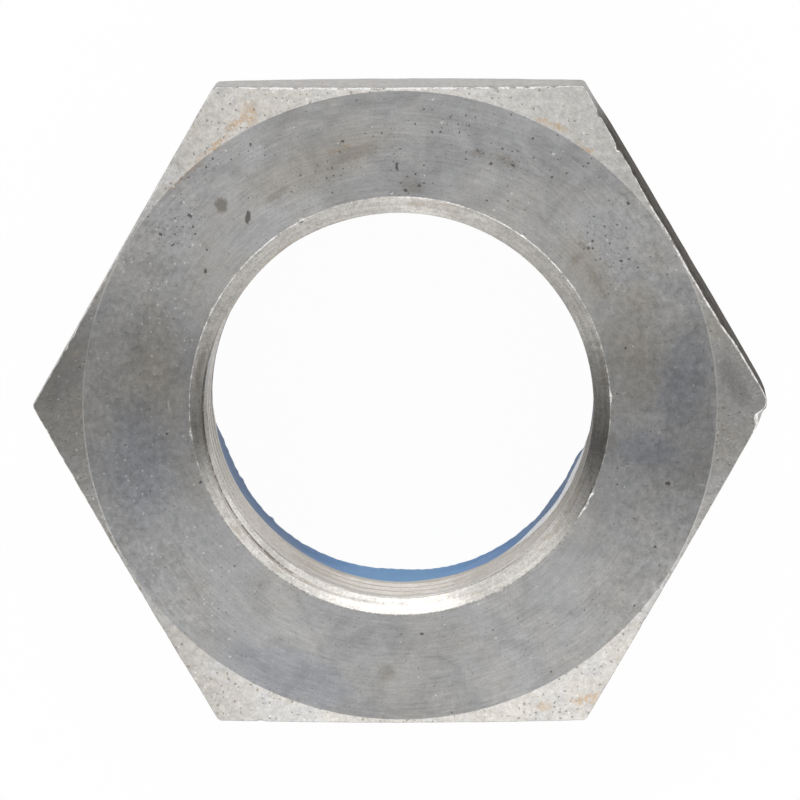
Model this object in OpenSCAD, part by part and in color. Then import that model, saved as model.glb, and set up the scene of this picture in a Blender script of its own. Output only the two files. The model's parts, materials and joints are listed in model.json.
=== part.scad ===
// Thin hexagonal lock nut with a locking ring of nylon.
// It lies on the rim of its collar, with the bearing face up. The axis of the thread is Z,
// the origin is on that axis at the rim, and two corners of the hexagon point along X.

/* [Hexagon] */
// Width across two opposite flats
across_flats = 46; // [45:0.5:50]
// Height of a flat at its middle, from the bearing face to the edge at the collar
flat_height = 8.6; // [7.5:0.1:9.5]
// Radius of the six upright edges between the flats
edge_radius = 0.8; // [0.4:0.1:3]
// How far the circle of the bearing face stays inside the flats
bearing_inset = 0.2; // [0.1:0.05:1]
// Slope of the cone that trims the corners at the bearing face, in degrees
bearing_slope = 16; // [12:1:30]
// Slope of the cone that trims the corners at the collar, in degrees
collar_slope = 30; // [20:1:35]

/* [Thread] */
// Nominal diameter of the thread
thread_d = 30; // [28:0.1:30.6]
// Pitch of the thread
pitch = 2; // [1.5:0.5:3]
// Depth of the last turn below the bearing face
thread_depth = 7.6; // [7:0.1:10]
// How much wider the mouth at the bearing face is than the thread
mouth_over = 0.25; // [0.1:0.05:1.5]
// Full angle of the mouth's cone, in degrees
mouth_angle = 120; // [90:5:130]
// Width of the bevel between the last turn and the shoulder of the pocket
exit_bevel = 0.5; // [0.2:0.1:0.9]

/* [Collar] */
// Height of the nut, from the rim of the collar to the bearing face
height = 16.5; // [15:0.1:20]
// Thickness of the collar's wall round the pocket
collar_wall = 1.9; // [1.4:0.1:2.3]
// Radius of the cove between the collar and the hexagon
cove_radius = 0.8; // [0.3:0.1:1.5]
// Radius of the crown where the wall rolls over into the lip
crown_radius = 3; // [1.8:0.1:3.3]
// Thickness of the rolled lip
lip_thickness = 1.3; // [0.8:0.1:1.7]
// How far the lip's edge stays clear of the thread's nominal diameter, all round
lip_clear = 1; // [0.6:0.1:1.3]

/* [Locking ring] */
// How far the thread of a screw bites into the ring, all round
ring_bite = 1.1; // [0.5:0.1:1.4]
// Width of the ring's section, from its bore to its outside
ring_width = 4.55; // [4.2:0.05:5]
// Radius of the pocket's corner, into which the lip has pressed the ring
pocket_corner = 1.3; // [0.6:0.1:1.8]
// Play between the ring and the wall of the pocket, all round
ring_play = 0.05; // [0.02:0.01:0.2]
// Bevel on the ring's other edges
ring_bevel = 0.3; // [0.1:0.1:0.8]

/* [Hidden] */

// Steps round the axis, and round a full circle of the section
turn_steps = 72;
section_steps = 24;
// Steps of the arc on each upright edge
edge_steps = 4;
// How far a cut runs past the solid it opens
past = 1;

// Hexagon: radius at the flats and at the sharp corners, and a radius outside all of it
flat_r = across_flats / 2;
corner_r = flat_r / cos(30);
reach_r = corner_r + past;

// Thread: five eighths of the sharp V's height are cut, so this is the radius of the crests
thread_r = thread_d / 2;
minor_r = thread_r - 5 / 8 * pitch * cos(30);
mouth_r = thread_r + mouth_over / 2;
mouth_z = height - (mouth_r - minor_r) / tan(mouth_angle / 2);

// Levels above the rim
last_turn_z = height - thread_depth;
shoulder_z = last_turn_z - exit_bevel;
flat_end_z = height - flat_height;

// Locking ring, from the bore that the screw bites into to its outside
ring_bore_r = thread_r - ring_bite;
ring_outer_r = ring_bore_r + ring_width;
ring_corner = pocket_corner - ring_play;

// Pocket round the ring, and the lip that holds it
pocket_r = ring_outer_r + ring_play;
lip_r = thread_r + lip_clear;
nose_r = lip_thickness / 2;

// Turned outside
bearing_r = flat_r - bearing_inset;
collar_r = pocket_r + collar_wall;
collar_top_z = flat_end_z - (flat_r - collar_r) * tan(collar_slope);

// A full circle of the section at a given place
module section_circle(r, at) {
    translate(at) circle(r, $fn = section_steps);
}

// Body of revolution round the thread's axis
module turned() {
    rotate_extrude($fn = turn_steps) children();
}

// Outline of the wrench flats: each corner is an arc, tangent to its two flats
module hexagon_outline() {
    arc_centre_r = corner_r - edge_radius / cos(30);
    polygon([
        for (corner = [0:60:300])
            for (step = [0:edge_steps])
                let (angle = corner - 30 + 60 * step / edge_steps)
                    arc_centre_r * [cos(corner), sin(corner)] + edge_radius * [cos(angle), sin(angle)]
    ]);
}

// Half section of the outside as it is turned: bearing face, two cones, collar and crown
module outer_section() {
    crown_centre = [collar_r - crown_radius, crown_radius];
    difference() {
        union() {
            polygon([
                [0, 0],
                [collar_r, 0],
                [collar_r, collar_top_z],
                [reach_r, collar_top_z + (reach_r - collar_r) * tan(collar_slope)],
                [reach_r, height - (reach_r - bearing_r) * tan(bearing_slope)],
                [bearing_r, height],
                [0, height]
            ]);
            cove();
        }
        difference() {
            translate([crown_centre.x, -past]) square([crown_radius + past, crown_radius + past]);
            section_circle(crown_radius, crown_centre);
        }
    }
}

// The cove is what a circle leaves, tangent to the collar and to the cone above it
module cove() {
    run = cove_radius * tan((90 - collar_slope) / 2);
    centre = [collar_r + cove_radius, collar_top_z - run];
    difference() {
        polygon([
            [collar_r, collar_top_z],
            [collar_r, centre.y],
            centre,
            [collar_r, collar_top_z] + run * [cos(collar_slope), sin(collar_slope)]
        ]);
        section_circle(cove_radius, centre);
    }
}

// Half section of the hole: countersunk mouth, bore at the crests, bevel, pocket and lip
module bore_section() {
    polygon([
        [0, last_turn_z - past],
        [minor_r, last_turn_z - past],
        [minor_r, mouth_z],
        [mouth_r, height],
        [mouth_r, height + past],
        [0, height + past]
    ]);
    polygon([
        [0, shoulder_z],
        [minor_r + exit_bevel, shoulder_z],
        [minor_r, last_turn_z],
        [0, last_turn_z]
    ]);
    rounded_block(pocket_r, pocket_corner, lip_thickness, shoulder_z);
    difference() {
        translate([0, -past]) square([lip_r + nose_r, lip_thickness + past]);
        section_circle(nose_r, [lip_r + nose_r, nose_r]);
    }
}

// A rectangle from the axis out to a radius, with its lower outer corner rounded
module rounded_block(r, corner, low_z, high_z) {
    translate([0, low_z]) square([r - corner, high_z - low_z]);
    translate([0, low_z + corner]) square([r, high_z - low_z - corner]);
    section_circle(corner, [r - corner, low_z + corner]);
}

// Half section of the ring: it fills the pocket, from the lip up to the shoulder
module ring_section() {
    bevel = ring_bevel;
    difference() {
        rounded_block(ring_outer_r, ring_corner, lip_thickness, shoulder_z);
        polygon([
            [0, lip_thickness - past],
            [ring_bore_r + bevel + past, lip_thickness - past],
            [ring_bore_r, lip_thickness + bevel],
            [ring_bore_r, shoulder_z - bevel],
            [ring_bore_r + bevel + past, shoulder_z + past],
            [0, shoulder_z + past]
        ]);
        polygon([
            [ring_outer_r + past, shoulder_z - bevel - past],
            [ring_outer_r + past, shoulder_z + past],
            [ring_outer_r - bevel - past, shoulder_z + past]
        ]);
    }
}

// Steel body, forged and turned in one piece, with its collar rolled over the ring
module hex_body() {
    color("silver")
    difference() {
        intersection() {
            linear_extrude(height) hexagon_outline();
            turned() outer_section();
        }
        turned() bore_section();
    }
}

// Locking ring of blue nylon
module nylon_ring() {
    color("steelblue")
    turned() ring_section();
}

hex_body();
nylon_ring();
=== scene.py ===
# %% [markdown]
# This lesson dresses a hexagonal lock nut that lies on a table with its bearing face up.
# The packed model holds the two pieces at their real size: a steel body and a blue nylon ring.
# The lesson builds the surfaces that the eye sees: the fine thread, the worn edges, the turned,
# forged and moulded finishes, and a plain studio round them.
# Everything is drawn in millimetres, as on a workshop drawing, and turned into metres only when a
# mesh is written.

import json
import math

import bmesh
import bpy
import numpy as np
from mathutils import Matrix, Vector


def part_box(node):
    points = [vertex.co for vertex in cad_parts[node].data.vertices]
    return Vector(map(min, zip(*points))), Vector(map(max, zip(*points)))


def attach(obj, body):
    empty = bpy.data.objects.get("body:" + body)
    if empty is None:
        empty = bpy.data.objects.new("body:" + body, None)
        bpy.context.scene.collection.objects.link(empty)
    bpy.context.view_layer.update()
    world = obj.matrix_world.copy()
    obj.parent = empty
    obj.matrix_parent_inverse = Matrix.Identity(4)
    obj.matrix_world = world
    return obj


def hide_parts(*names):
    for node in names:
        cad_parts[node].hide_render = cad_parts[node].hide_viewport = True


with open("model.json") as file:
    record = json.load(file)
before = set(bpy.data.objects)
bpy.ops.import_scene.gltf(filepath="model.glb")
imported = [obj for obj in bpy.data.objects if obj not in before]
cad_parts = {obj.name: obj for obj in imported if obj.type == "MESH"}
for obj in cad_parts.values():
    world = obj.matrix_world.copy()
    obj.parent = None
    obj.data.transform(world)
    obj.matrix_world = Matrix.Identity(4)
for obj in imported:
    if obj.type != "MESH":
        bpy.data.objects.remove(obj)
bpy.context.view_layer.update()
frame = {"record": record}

# %% [markdown]
# The driving sizes come from the packed model, so the dressed nut can't drift away from it.
# The boxes of the two nodes give the height, the flats, the lip and the shoulder, and the record's
# mounts give the two bores. What a box can't tell, such as a slope or a fillet, is a named value.
# Three of these differ a little from the solid's, because the worn nut shows them so: the thread runs
# 0.45 mm deeper, the upright edges are rounded less, and the circle of the bearing face is smaller.

# %% Sizes from the packed model
MM = 0.001


def box_mm(node):
    """Lowest and highest corner of a node's box, in millimetres."""
    return [np.round(np.array(corner) / MM, 4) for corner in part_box(node)]


body_high = box_mm("hex_body")[1]
ring_low, ring_high = box_mm("nylon_ring")
mount_dims = {mount["name"]: mount["dims"] for mount in frame["record"]["mounts"]}

height = body_high[2]
flat_r = body_high[1]
corner_r = flat_r / math.cos(math.radians(30))
minor_r = mount_dims["thread"]["r_mm"]
ring_bore_r = mount_dims["ring_bore"]["r_mm"]
ring_outer_r = ring_high[0]
shoulder_z = ring_high[2]
lip_thickness = ring_low[2]
print(f"height {height}, flats {2 * flat_r}, crests {2 * minor_r} mm")

# %% Sizes that the boxes can't tell
pitch = 2.0
thread_r = minor_r + 5 / 8 * pitch * math.cos(math.radians(30))
thread_depth = 8.05
thread_fade = 0.8
exit_bevel = height - thread_depth - shoulder_z
mouth_over = 0.25
mouth_r = thread_r + mouth_over / 2
mouth_half_angle = 60

bearing_inset = 0.26
bearing_r = flat_r - bearing_inset
bearing_slope = 16
flat_height = 8.6
edge_radius = 0.45
collar_slope = 30
collar_wall = 1.9
cove_radius = 0.8
crown_radius = 3.0
ring_play = 0.05
pocket_r = ring_outer_r + ring_play
pocket_corner = 1.3
lip_clear = 1
lip_r = thread_r + lip_clear
print(f"thread M{2 * thread_r:.0f} x {pitch:.0f}, mouth {2 * mouth_r:.2f} mm")

# %% [markdown]
# A nut is a body of revolution in all but two things: its six flats, and its thread, which climbs.
# One way to make it is to cut both out of a solid with booleans, but that leaves long thin faces
# round every cut. Here the half section is drawn as one closed line and carried round the axis
# instead, and each point of that line may change from column to column: on the flats its radius
# follows the hexagon, and in the bore its height follows the helix.

# %% Columns round the axis
SEAM_DEG = 60
COLUMNS_PER_SIXTH = 144


def column_angles():
    """Angles of the columns, closer together near the six corners.

    In each sixth the angle is corner + 60 * (share - a * sin(2 pi share) / (2 pi)), and the slope
    of that curve, 1 - a at both ends, is the spacing there.
    """
    crowding = 0.72
    share = np.arange(COLUMNS_PER_SIXTH) / COLUMNS_PER_SIXTH
    eased = share - crowding * np.sin(2 * np.pi * share) / (2 * np.pi)
    sixths = SEAM_DEG + 60 * (np.arange(6)[:, None] + eased[None, :])
    return np.append(sixths.ravel(), SEAM_DEG + 360)


turn_deg = column_angles()
turn = np.radians(turn_deg)
print(len(turn), "columns, spaced", round(np.diff(turn_deg).min(), 2), "to",
      round(np.diff(turn_deg).max(), 2), "degrees")

# %% Unevenness that closes on itself


def ripple(seed, fewest, most, amount):
    """Unevenness round the axis: the sum of strength * sin(n * angle + phase) over n, fewest to most.

    Whole numbers of waves meet themselves after a full turn, so no seam shows.
    """
    random = np.random.default_rng(seed)
    waves = np.arange(fewest, most + 1)[:, None]
    strength = random.normal(size=waves.shape)
    phase = random.uniform(0, 2 * np.pi, waves.shape)
    summed = (strength * np.sin(waves * turn[None, :] + phase)).sum(axis=0)
    return amount * summed / np.sqrt(len(waves) / 2)


def dents(places):
    """Dents at given places: each (angle, half width, depth) adds depth * exp(-(distance / half width)^2)."""
    angle, half_width, depth = np.array(places).T[:, :, None]
    distance = (turn_deg[None, :] - angle + 180) % 360 - 180
    return (depth * np.exp(-((distance / half_width) ** 2))).sum(axis=0)


def smooth_step(value, low, high):
    """0 below low, 1 above high, and 3 t^2 - 2 t^3 between them."""
    share = np.clip((value - low) / (high - low), 0, 1)
    return share * share * (3 - 2 * share)


def between(angle, begin, end):
    """1 on a stretch of angles and 0 beyond it: a smooth step up over begin, and one down over end."""
    return smooth_step(angle, *begin) * (1 - smooth_step(angle, *end))


print("a ripple of 0.01 mm reaches", round(np.abs(ripple(1, 5, 60, 0.01)).max(), 3), "mm")

# %% [markdown]
# The outline of the wrench flats is a hexagon with rounded upright edges. Seen from the axis, a flat
# is the line radius = flat_r / cos(angle from its middle), and a rounded edge is an arc whose centre
# lies on the corner's own diagonal. The corner that points along +X has been knocked in service, so
# its arc is larger, and the flat next to it has spread outwards, most of all at that corner.

# %% Outline of the flats
KNOCKED_EDGE_RADIUS = 1.2
SPREAD_AT_CORNER = 0.16
SPREAD_FURTHER_ON = 0.09
FLAT_WAVE = 0.012


def hexagon_radius():
    """Distance from the axis to the outline, per column: the flat's line, or the arc near a corner.

    Arc: c * cos(d) + sqrt(e^2 - c^2 * sin(d)^2), with d the angle from the corner, e the arc's
    radius and c = corner_r - e / cos(30) the distance of its centre.
    """
    nearest_corner = 60 * np.round(turn_deg / 60)
    from_corner = np.radians(turn_deg - nearest_corner)
    radius = np.where(nearest_corner % 360 == 0, KNOCKED_EDGE_RADIUS, edge_radius)
    centre = corner_r - radius / math.cos(math.radians(30))
    flat = flat_r / np.cos(np.radians(30) - np.abs(from_corner))
    inside = np.maximum(radius**2 - (centre * np.sin(from_corner)) ** 2, 0)
    arc = centre * np.cos(from_corner) + np.sqrt(inside)
    tangent = np.arctan2(radius * 0.5, centre + radius * math.cos(math.radians(30)))
    return np.where(np.abs(from_corner) < tangent, arc, flat)


from_zero = (turn_deg + 180) % 360 - 180
spread_loss = (SPREAD_AT_CORNER - SPREAD_FURTHER_ON) * smooth_step(from_zero, 8, 28)
spread = between(from_zero, (-0.5, 3), (52, 58)) * (SPREAD_AT_CORNER - spread_loss)
flat_wave = np.abs(ripple(11, 2, 40, FLAT_WAVE))
hexagon = hexagon_radius() - flat_wave + spread
print("outline from", round(hexagon.min(), 3), "to", round(hexagon.max(), 3), "mm")

# %% [markdown]
# The front edge is where a spanner and other parts strike the nut. All round it is broken by a few
# hundredths of a millimetre, with small nicks. Along the flat at +Y the metal is rubbed to a wider,
# bright and uneven line. On the flat between the corners at 0 and 60 degrees the edge was beaten
# over, so a steep dull facet has taken the place of the sharp edge there, with three deeper chips.
# On the side of -X the edge is slightly jagged, as a saw or a coarse file leaves it.

# %% Wear of the front edge
NICKS = [
    (55.6, 0.5, 0.14),
    (49.8, 0.45, 0.18),
    (45.0, 0.35, 0.12),
    (19.0, 2.2, 0.09),
    (-1.6, 0.9, 0.35),
    (124.5, 0.3, 0.12),
    (167.5, 0.35, 0.10),
    (170.0, 0.3, 0.12),
    (246.0, 0.5, 0.10),
    (318.0, 0.4, 0.14),
    (325.5, 0.3, 0.10),
]
STRUCK_FLATTER = [
    (-2.2, 1.3, 0.26),
    (49.8, 0.6, 0.12),
    (55.6, 0.5, 0.10),
]
SMALLEST_BREAK = 0.03
DEEPEST_CHIP = 0.42
BEATEN_BACK = 0.11
RUBBED_WIDER = 0.06

in_one_turn = turn_deg % 360
beaten = between(in_one_turn, (9, 16), (53, 57.5))
beaten_inset = SMALLEST_BREAK + beaten * (BEATEN_BACK + np.abs(ripple(21, 3, 30, 0.03)))
jagged = between(in_one_turn, (123, 127), (232, 238))
fine_wear = np.abs(ripple(22, 20, 200, 0.008))
coarse_teeth = jagged * np.abs(ripple(25, 90, 420, 0.028))
edge_inset = beaten_inset * smooth_step(from_zero, -3, 2) + fine_wear + coarse_teeth
edge_inset = np.minimum(edge_inset + dents(NICKS), DEEPEST_CHIP)
rubbed = between(in_one_turn, (61, 66), (112, 119)) + between(from_zero, (0, 5), (34, 46))
rubbed_width = rubbed * (RUBBED_WIDER + np.abs(ripple(24, 5, 200, 0.035)))
edge_bevel = SMALLEST_BREAK + np.abs(ripple(23, 10, 300, 0.012)) + rubbed_width
edge_bevel = edge_bevel + dents(STRUCK_FLATTER)
front_edge = hexagon - edge_inset
print("front edge stands back by", round(edge_inset.min(), 3), "to", round(edge_inset.max(), 3), "mm")

# %% [markdown]
# The section is drawn like a turner's tool path. A pen starts at the mouth of the bore and goes down
# the thread, out under the shoulder, round the pocket and the rolled lip, up the outside and back
# across the bearing face. Each stretch belongs to a zone, and the zone decides the finish later.

# %% A pen for half sections


def place(r, z):
    """One row of the surface: radius and height in each column."""
    return np.stack([np.broadcast_to(r, turn.shape), np.broadcast_to(z, turn.shape)])


class Section:
    """A closed half section, kept as rows of (radius, height) with the zone of the strip after each row."""

    def __init__(self, start):
        self.pen = start
        self.rows = []
        self.zones = []

    def line(self, zone, end, rows=1):
        """Straight stretch: start + share * (end - start), with share = 0, 1/rows, 2/rows and so on."""
        share = np.arange(rows)[:, None, None] / rows
        self.rows.append(self.pen + share * (end - self.pen))
        self.zones += [zone] * rows
        self.pen = end

    def arc(self, zone, centre, radius, first, last, rows):
        """Arc: centre + radius * (cos, sin), with the angle going evenly from first to last, in degrees."""
        angle = np.radians(np.linspace(first, last, rows + 1))[:, None]
        on_arc = np.stack([centre[0] + radius * np.cos(angle), centre[1] + radius * np.sin(angle)], axis=1)
        points = np.broadcast_to(on_arc, (rows + 1, 2, len(turn)))
        self.rows.append(points[:-1])
        self.zones += [zone] * rows
        self.pen = points[-1]

    def grid(self):
        """All rows as one array: row, (radius, height), column."""
        return np.concatenate(self.rows)


print("pen ready for", len(turn), "columns")

# %% [markdown]
# A metric thread is a V of 60 degrees with its tip and root cut flat: the root is an eighth of the
# pitch wide at the nominal diameter, and the crest is a quarter of the pitch wide at the bore. The
# groove climbs by one pitch in a turn. Where it runs out through the cone of the mouth it opens a
# thin crescent, as every tapped hole shows. Further round the start of the thread was dressed off,
# so the cone closes over it again. At the inner end the groove fades where the tap stopped, and a
# thin burr is left on the last turn.

# %% Where the groove lies
MOUTH_GROOVE_DEG = 105
MOUTH_GROOVE_DEPTH = 1.447

cone_rise = 1 / math.tan(math.radians(mouth_half_angle))
groove_z = height - MOUTH_GROOVE_DEPTH + (turn_deg - MOUTH_GROOVE_DEG) / 360 * pitch
thread_end_z = height - thread_depth


def on_mouth_cone(r):
    """Height of the mouth's cone at a radius: height - (mouth_r - r) / tan(half angle)."""
    return height - (mouth_r - r) * cone_rise


def on_cone(r):
    """A row of places on the mouth's cone."""
    return place(r, on_mouth_cone(r))


print("the mouth's cone goes", round(height - on_mouth_cone(minor_r), 3), "mm deep")

# %% Turns of the groove
FLANK_ROWS = 2
GROOVES = 5
DRESSED_OFF_DEG = (228, 272)
DRESSED_INWARDS = 0.42
INWARDS_ENDS_DEG = (300, 340)
OUT_OF_CONE_DEG = (385, 410)


def cut_thread(section):
    """Draws each turn of the groove: upper flank, root, lower flank, crest.

    The first groove may start in the cone. It opens the cone at the radius where the cone and its
    upper flank cross, which lies midway between their heights. Where it is dressed off, its points
    move onto the cone, between that radius and the bore, and at first that radius moves inwards too.
    """
    dressed = between(turn_deg, DRESSED_OFF_DEG, OUT_OF_CONE_DEG)
    inwards = DRESSED_INWARDS * dressed * (1 - smooth_step(turn_deg, *INWARDS_ENDS_DEG))
    crest_half = pitch * 3 / 8
    root_half = pitch / 16
    mouth_end_z = on_mouth_cone(minor_r)
    root_z = on_mouth_cone(thread_r)
    cross_z = (groove_z + crest_half + mouth_end_z) / 2
    cross_r = np.clip(mouth_r - (height - cross_z) / cone_rise, minor_r, thread_r)
    cross_r = cross_r - (cross_r - minor_r) * inwards
    section.line("bore", place(cross_r, on_mouth_cone(cross_r)), FLANK_ROWS)
    section.line("bore", place(cross_r, np.minimum(on_mouth_cone(cross_r), groove_z + crest_half)))
    for groove in range(GROOVES):
        middle = groove_z - groove * pitch
        root_top = place(thread_r, np.minimum(middle + root_half, root_z))
        root_end = place(thread_r, np.minimum(middle - root_half, root_z))
        crest = place(minor_r, np.minimum(middle - crest_half, mouth_end_z))
        flank_end = crest
        if groove == 0:
            root_top = root_top + dressed * (on_cone(cross_r) - root_top)
            root_end = root_end + dressed * (on_cone((cross_r + minor_r) / 2) - root_end)
            flank_end = crest + dressed * (on_cone(minor_r) - crest)
        else:
            section.line("bore", place(minor_r, middle + crest_half))
        section.line("bore", root_top, FLANK_ROWS)
        section.line("bore", root_end)
        section.line("bore", flank_end, FLANK_ROWS)
        section.line("bore", crest)
    section.line("bore", place(minor_r, height - thread_depth - exit_bevel))


print("each column crosses the groove up to", GROOVES, "times")

# %% Run-out and burr of the last turn
BURR_BEGINS_DEG = (183, 192)
BURR_ENDS_DEG = (345, 352)
BURR_ON_HALF_TURN = 0.09
BURR_HEIGHT = 0.5
TALLER_BURR = [
    (322.0, 9.0, 0.9),
]
LAST_TURN_BURRS = [
    (316.0, 9.0, 0.20),
    (334.0, 9.0, 0.20),
    (186.0, 5.0, 0.10),
]

last_turn_burr = BURR_ON_HALF_TURN * between(turn_deg, BURR_BEGINS_DEG, BURR_ENDS_DEG)
last_turn_burr = last_turn_burr + dents(LAST_TURN_BURRS)


def fade_thread(rows):
    """Lets the groove run out near its inner end, where a burr of the last turn stands into the bore.

    Radius = bore + (radius - bore) * fade(height), and below the last turn at least the bevel's. The
    burr thins out upwards, over its height.
    """
    r, z = rows[:, 0], np.maximum(rows[:, 1], thread_end_z - exit_bevel)
    fade = smooth_step(z, thread_end_z, thread_end_z + thread_fade)
    faded = np.maximum(minor_r + (r - minor_r) * fade, minor_r + thread_end_z - z)
    burr_top = thread_end_z + BURR_HEIGHT + dents(TALLER_BURR)
    burr = last_turn_burr * (1 - smooth_step(z, burr_top - BURR_HEIGHT, burr_top))
    return np.stack([faded - burr, z], axis=1)


print("burr of the last turn: at most", round(last_turn_burr.max(), 3), "mm")

# %% Rim of the mouth
MOUTH_BREAK = 0.03
RIM_CHIPS = [
    (331.5, 1.6, 0.10),
    (335.5, 0.7, 0.12),
    (2.5, 1.2, 0.10),
    (34.0, 0.5, 0.10),
    (117.5, 0.8, 0.16),
    (187.0, 0.9, 0.12),
    (152.0, 1.2, 0.07),
    (212.0, 0.6, 0.08),
    (316.0, 0.7, 0.08),
]

mouth_wear = np.abs(ripple(31, 10, 250, 0.02)) + dents(RIM_CHIPS)
rim_r = mouth_r + MOUTH_BREAK + mouth_wear
print("the rim is worn wider by up to", round(mouth_wear.max(), 3), "mm")

# %% Cones that trim the corners
bearing_drop = math.tan(math.radians(bearing_slope))
collar_rise = math.tan(math.radians(collar_slope))


def on_bearing_cone(r):
    """Height of the shallow cone that trims the corners at the bearing face."""
    return height - np.maximum(r - bearing_r, 0) * bearing_drop


def on_collar_cone(r):
    """Height of the cone that trims the corners at the collar."""
    return height - flat_height + (r - flat_r) * collar_rise


height_left = on_bearing_cone(corner_r) - on_collar_cone(corner_r)
print("they leave", round(height_left, 2), "mm of height at a sharp corner")

# %% Half section of the steel body
REAR_BEVEL = 0.05
FACET_STEEPNESS = 4
NARROWEST_CONE = 0.02


def draw_bore(section):
    """Mouth, thread, exit bevel and the underside of the shoulder."""
    section.line("bore", place(thread_r, on_mouth_cone(thread_r)))
    cut_thread(section)
    section.rows = list(fade_thread(np.concatenate(section.rows))[:, None])
    section.line("bore", place(pocket_r, shoulder_z))


def draw_collar(section):
    """Pocket, rolled lip, crown, wall and cove of the collar."""
    nose_r = lip_thickness / 2
    collar_r = pocket_r + collar_wall
    collar_top_z = on_collar_cone(collar_r)
    cove_run = cove_radius * math.tan(math.radians((90 - collar_slope) / 2))
    corner = (pocket_r - pocket_corner, lip_thickness + pocket_corner)
    section.line("collar", place(pocket_r, corner[1]))
    section.arc("collar", corner, pocket_corner, 0, -90, 7)
    section.line("collar", place(lip_r + nose_r, lip_thickness))
    section.arc("collar", (lip_r + nose_r, nose_r), nose_r, 90, 270, 14)
    section.line("collar", place(collar_r - crown_radius, 0))
    section.arc("collar", (collar_r - crown_radius, crown_radius), crown_radius, -90, 0, 9)
    section.line("collar", place(collar_r, collar_top_z - cove_run), 2)
    cove_centre = (collar_r + cove_radius, collar_top_z - cove_run)
    section.arc("collar", cove_centre, cove_radius, 180, 90 + collar_slope, 5)


def draw_hexagon(section):
    """Cone at the collar, the flats, the worn front edge, the shallow cone and the bearing face."""
    behind_edge = hexagon - REAR_BEVEL
    cone_edge = front_edge - edge_bevel
    circle_r = np.minimum(bearing_r, cone_edge - NARROWEST_CONE)
    facet_z = on_bearing_cone(hexagon) - FACET_STEEPNESS * edge_inset - edge_bevel
    section.line("corner", place(behind_edge, on_collar_cone(behind_edge)), 3)
    section.line("edge", place(hexagon, on_collar_cone(hexagon) + REAR_BEVEL))
    section.line("flat", place(hexagon, facet_z), 5)
    section.line("flat", place(front_edge, on_bearing_cone(front_edge) - edge_bevel), 2)
    section.line("edge", place(cone_edge, on_bearing_cone(cone_edge)), 2)
    section.line("corner", place(circle_r, on_bearing_cone(circle_r)), 5)
    section.line("face", place(rim_r, height), 10)


cone_top = place(mouth_r - MOUTH_BREAK, on_mouth_cone(mouth_r - MOUTH_BREAK) - mouth_wear / 3)
body_section = Section(cone_top)
draw_bore(body_section)
draw_collar(body_section)
draw_hexagon(body_section)
body_section.line("rim", cone_top, 2)
print(len(body_section.zones), "rows in the body's section")

# %% [markdown]
# Now the section becomes a mesh. Radius and angle give x and y, each cell of the grid gives one
# four-sided face, and the last row joins the first, because the section is closed. The helix has
# moved up by one pitch when the columns come round again, so the last column lies exactly on the
# first one but is joined to other rows. Merging the doubles closes that seam.

# %% From a section to a mesh


def grid_mesh(name, rows, zones, materials):
    """Mesh of a closed section: x = r cos(angle), y = r sin(angle), and a face for each cell.

    The corners of a cell are named in the order that makes its normal point out of the material.
    """
    r, z = rows[:, 0], rows[:, 1]
    points = np.stack([r * np.cos(turn), r * np.sin(turn), z], axis=-1) * MM
    row_count, column_count = r.shape
    index = np.arange(row_count * column_count).reshape(row_count, column_count)
    below = np.roll(index, -1, axis=0)
    cells = np.stack([index[:, :-1], index[:, 1:], below[:, 1:], below[:, :-1]], axis=-1)
    mesh = bpy.data.meshes.new(name)
    mesh.from_pydata(points.reshape(-1, 3), [], cells.reshape(-1, 4))
    slot_names = list(materials)
    for material in materials.values():
        mesh.materials.append(material)
    slot_of_row = np.array([slot_names.index(zone) for zone in zones])
    mesh.polygons.foreach_set("material_index", np.repeat(slot_of_row, column_count - 1))
    return mesh


def close_mesh(mesh, merge_mm=0.001):
    """Merges doubles, drops the faces that have shrunk to a line, and says how many edges stay open."""
    work = bmesh.new()
    work.from_mesh(mesh)
    bmesh.ops.remove_doubles(work, verts=work.verts, dist=merge_mm * MM)
    bmesh.ops.dissolve_degenerate(work, edges=work.edges, dist=merge_mm * MM)
    open_edges = sum(not edge.is_manifold for edge in work.edges)
    work.to_mesh(mesh)
    work.free()
    mesh.update()
    return open_edges


def add_piece(name, mesh, node, sharp_deg):
    """Puts a mesh into the scene as the piece that stands for a node of the packed model."""
    mesh.shade_smooth()
    mesh.set_sharp_from_angle(angle=math.radians(sharp_deg))
    piece = bpy.data.objects.new(name, mesh)
    bpy.context.scene.collection.objects.link(piece)
    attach(piece, "root")
    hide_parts(node)
    return piece


print("cells in the body's grid:", len(body_section.zones) * (len(turn) - 1))

# %% [markdown]
# A material is a recipe of small steps. It could be clicked together by hand in the shader editor,
# but a recipe that is written down can be read, compared and mended. The class below does that: each
# method adds one step, links what comes from another step and writes what is a plain value.

# %% A recipe for materials


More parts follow.
